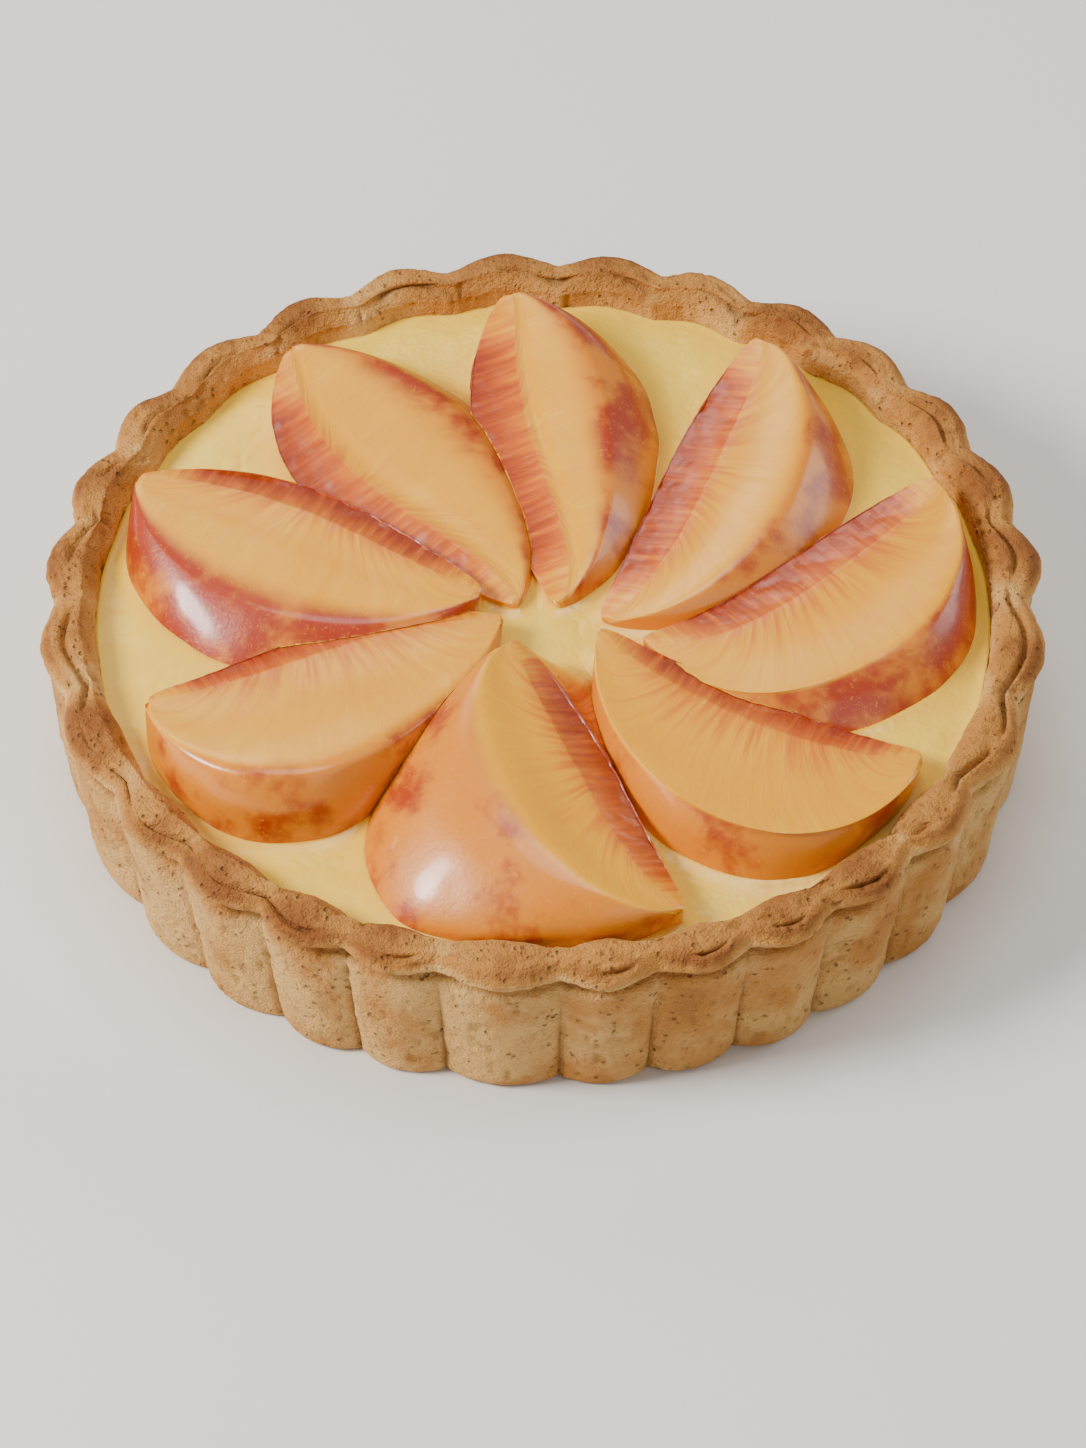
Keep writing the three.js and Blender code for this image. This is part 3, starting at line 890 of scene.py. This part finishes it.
def crust_material(mottle, crumb):
    """Dry baked shortcrust: pale dough, golden and then brown where it stands out, with darker
    flecks, and painted shade in its pores and crevices."""
    material, nodes, shader, place = new_material("baked_shortcrust")
    patches = use_group(nodes, mottle, Vector=place, Scale=70.0, Low=0.35, High=0.68)["Mask"]
    specks = use_group(nodes, mottle, Vector=place, Scale=620.0, Low=0.6, High=0.7)["Mask"]
    grain = use_group(nodes, crumb, Vector=place, Scale=750.0, Pores=0.6)
    uneven = nodes.times(nodes.math("SUBTRACT", patches, 0.5), 0.5)
    toast = nodes.plus(nodes.attribute("toast"), uneven)
    golden = nodes.mix(nodes.ramp(toast, -0.1, 0.55), paint("dough"), paint("golden"))
    brown = nodes.mix(nodes.ramp(toast, 0.45, 1.2), golden, paint("brown"))
    flecked = nodes.mix(nodes.times(specks, 0.45), brown, paint("fleck"))
    # Painted shade in the crumb's pores.
    pore_shaded = nodes.mix(nodes.times(grain["Pore"], 0.5), flecked, paint("shaded_pore"))
    # Painted shade in the creases, cracks, notch lines, the fold under the rim and the pits.
    crevice_shaded = nodes.mix(nodes.times(nodes.attribute("hollow"), 0.6), pore_shaded, paint("crevice_shade"))
    nodes.put(shader.inputs["Base Color"], crevice_shaded)
    nodes.put(shader.inputs["Roughness"], nodes.ramp(grain["Height"], 0.2, 0.8, 0.72, 0.9))
    shader.inputs["Specular IOR Level"].default_value = 0.35
    shader.inputs["Subsurface Weight"].default_value = 0.06
    shader.inputs["Subsurface Radius"].default_value = (0.004, 0.002, 0.001)
    set_bump(nodes, shader, grain["Height"], 0.0018)
    return material


def custard_material(mottle):
    """Set vanilla custard: smooth and faintly mottled, warmer and wetter beside the fruit."""
    material, nodes, shader, place = new_material("vanilla_custard")
    patches = use_group(nodes, mottle, Vector=place, Scale=45.0, Low=0.3, High=0.72)["Mask"]
    seeds = use_group(nodes, mottle, Vector=place, Scale=900.0, Low=0.7, High=0.74)["Mask"]
    near = nodes.attribute("near_fruit")
    base = nodes.mix(patches, paint("custard"), paint("custard_patch"))
    juiced = nodes.mix(nodes.times(near, 0.5), base, paint("custard_juice"))
    dotted = nodes.mix(nodes.times(seeds, 0.6), juiced, paint("vanilla"))
    nodes.put(shader.inputs["Base Color"], dotted)
    dry = nodes.ramp(patches, 0.0, 1.0, 0.34, 0.44)
    nodes.put(shader.inputs["Roughness"], nodes.math("SUBTRACT", dry, nodes.times(near, 0.14)))
    shader.inputs["Subsurface Weight"].default_value = 0.35
    shader.inputs["Subsurface Radius"].default_value = (0.006, 0.004, 0.0015)
    nodes.put(shader.inputs["Coat Weight"], nodes.ramp(near, 0.2, 0.9, 0.2, 0.6))
    shader.inputs["Coat Roughness"].default_value = 0.14
    ripple = nodes.plus(nodes.noise(place, 120.0, 3.0), nodes.times(nodes.noise(place, 900.0, 2.0), 0.12))
    set_bump(nodes, shader, ripple, 0.0008)
    return material


def stretched(nodes, vector, width, length):
    """Pattern place measured in strands of this width and length."""
    squeeze = nodes.add("ShaderNodeMapping", Scale=(1 / width, 1 / length, 1.0))
    nodes.put(squeeze.inputs["Vector"], vector)
    return squeeze.outputs[0]


def flesh_colour(nodes, fibres, strands, streaks, patches):
    """Cut faces: yellow with darker fibres and paler strands, red and then dark by the stone."""
    near_stone = nodes.plus(nodes.times(nodes.attribute("inner"), 0.75), 0.12)
    strength = nodes.times(nodes.ramp(streaks, 0.35, 0.65, 0.25, 1.0), near_stone)
    fibrous = nodes.times(nodes.ramp(fibres, 0.4, 0.7), strength)
    flesh = nodes.mix(fibrous, paint("flesh"), paint("fibre"))
    flesh = nodes.mix(nodes.times(nodes.ramp(strands, 0.5, 0.72), 0.5), flesh, paint("strand"))
    flesh = nodes.mix(nodes.times(nodes.ramp(patches, 0.2, 0.9), 0.25), flesh, paint("flesh_patch"))
    stain = nodes.times(nodes.math("SUBTRACT", nodes.plus(fibres, strands), 1.0), 0.8)
    bleed = nodes.plus(nodes.attribute("stone"), stain)
    flesh = nodes.mix(nodes.times(nodes.ramp(bleed, 0.2, 0.75), 0.85), flesh, paint("stone_edge"))
    return nodes.mix(nodes.times(nodes.ramp(bleed, 0.55, 1.05), 0.9), flesh, paint("stone_heart"))


def skin_colour(nodes, streaks, patches, speckle):
    """Skin: orange with a red blush that is larger on a riper wedge, and small pale speckles."""
    uneven = nodes.plus(patches, nodes.times(streaks, 0.6))
    ruddy = nodes.plus(uneven, nodes.attribute("ripe"))
    blush = nodes.mix(nodes.ramp(ruddy, 0.45, 1.25), paint("skin"), paint("blush"))
    return nodes.mix(nodes.times(speckle, 0.45), blush, paint("speckle"))


def peach_material(mottle):
    """Glazed peach: fibrous flesh on the cut faces and a thin blushed skin on the round side, under
    a clear coat."""
    material, nodes, shader, place = new_material("glazed_peach")
    stone, skin = nodes.attribute("stone"), nodes.attribute("skin")
    grain = nodes.attribute("grain", "Vector")
    fibres = nodes.noise(stretched(nodes, grain, 1.0, 15), 1.0, 6.0, 0.66)
    strands = nodes.noise(stretched(nodes, grain, 2.8, 30), 1.0, 3.0, 0.6)
    streaks = nodes.noise(stretched(nodes, grain, 7, 24), 1.0, 3.0, 0.6)
    patches = use_group(nodes, mottle, Vector=place, Scale=60.0, Low=0.36, High=0.66)["Mask"]
    speckle = use_group(nodes, mottle, Vector=place, Scale=800.0, Low=0.58, High=0.68)["Mask"]

    flesh = flesh_colour(nodes, fibres, strands, streaks, patches)
    blush = skin_colour(nodes, streaks, patches, speckle)
    nodes.put(shader.inputs["Base Color"], nodes.mix(nodes.ramp(skin, 0.25, 0.85), flesh, blush))
    dry = nodes.plus(fibres, nodes.times(skin, 0.3))
    nodes.put(shader.inputs["Roughness"], nodes.ramp(dry, 0.3, 1.0, 0.24, 0.42))
    shader.inputs["Subsurface Weight"].default_value = 0.25
    shader.inputs["Subsurface Radius"].default_value = (0.006, 0.003, 0.0012)
    nodes.put(shader.inputs["Coat Weight"], nodes.ramp(skin, 0.3, 0.9, 0.65, 0.5))
    shader.inputs["Coat Roughness"].default_value = 0.15

    fine = nodes.times(nodes.noise(place, 1300.0, 2.0), nodes.ramp(skin, 0.3, 0.9, 0.1, 0.12))
    rough_stone = nodes.times(nodes.times(nodes.noise(place, 500.0, 3.0), stone), 0.5)
    lines = nodes.times(fibres, nodes.ramp(skin, 0.2, 0.8, 0.35, 0.1))
    set_bump(nodes, shader, nodes.plus(nodes.plus(lines, fine), rough_stone), 0.0004)
    return material


def floor_material():
    """Plain pale floor."""
    material, _, shader, _ = new_material("pale_floor")
    shader.inputs["Base Color"].default_value = paint("floor")
    shader.inputs["Roughness"].default_value = 0.7
    return material


def make_floor():
    """Floor: one flat square, in metres."""
    half = FLOOR_HALF
    mesh = bpy.data.meshes.new("floor")
    corners = [(-half, -half, 0), (half, -half, 0), (half, half, 0), (-half, half, 0)]
    mesh.from_pydata(corners, [], [(0, 1, 2, 3)])
    floor = bpy.data.objects.new("floor", mesh)
    bpy.context.scene.collection.objects.link(floor)
    floor.data.materials.append(floor_material())


def make_camera():
    """Camera above the front edge, looking down at the middle of the tart."""
    data = bpy.data.cameras.new("camera")
    data.lens = CAMERA_LENS
    data.clip_start = 0.05
    camera = bpy.data.objects.new("camera", data)
    bpy.context.scene.collection.objects.link(camera)
    elevation = math.radians(CAMERA_ELEVATION)
    back = Vector((0, -math.cos(elevation), math.sin(elevation)))
    camera.location = (Vector(CAMERA_AIM) + CAMERA_DISTANCE * back) * MM
    camera.rotation_euler = (-back).to_track_quat("-Z", "Y").to_euler()
    bpy.context.scene.camera = camera


def make_light(name, place, size, power, tint):
    """Round soft light that faces the tart, with its place and size in metres and power in watts."""
    data = bpy.data.lights.new(name, "AREA")
    data.shape = "DISK"
    data.size = size
    data.energy = power
    data.color = tint
    light = bpy.data.objects.new(name, data)
    bpy.context.scene.collection.objects.link(light)
    light.location = place
    light.rotation_euler = (-Vector(place)).to_track_quat("-Z", "Y").to_euler()


def make_lights():
    """Soft key from the left, broad fills from the right, the front and above, a warm glow
    behind and a pale room."""
    make_light("key", (-0.85, -0.2, 0.7), 0.4, 18, (1, 0.97, 0.93))
    make_light("side", (0.95, 0.35, 0.5), 0.6, 3.5, (1, 0.98, 0.95))
    make_light("fill", (0.6, -0.8, 0.6), 0.9, 2, (1, 0.98, 0.96))
    make_light("top", (0.05, 0.15, 1.2), 0.7, 5, (1, 0.98, 0.95))
    make_light("glow", (-0.32, 0.97, 0.78), 0.75, 1.8, (1, 0.93, 0.83))
    make_light("glow_heart", (-0.33, 0.98, 0.79), 0.35, 0.7, (1, 0.93, 0.83))
    world = bpy.data.worlds.new("room")
    world.use_nodes = True
    world.node_tree.nodes["Background"].inputs["Color"].default_value = (1, 0.985, 0.965, 1)
    world.node_tree.nodes["Background"].inputs["Strength"].default_value = 0.28
    bpy.context.scene.world = world


def dress(piece, material, node):
    """Gives a piece its finish, hangs it under the root body and hides the part it stands for."""
    piece.data.materials.clear()
    piece.data.materials.append(material)
    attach(piece, "root")
    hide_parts(node)


def make_tart():
    """The whole tart."""
    mottle, crumb = mottle_group(), crumb_group()
    wedges = make_wedges()
    dress(make_crust(), crust_material(mottle, crumb), "crust")
    dress(make_custard(wedges), custard_material(mottle), "custard")
    peach = peach_material(mottle)
    for name, (piece, _) in wedges.items():
        dress(piece, peach, name)


make_camera()
make_floor()
make_lights()
make_tart()
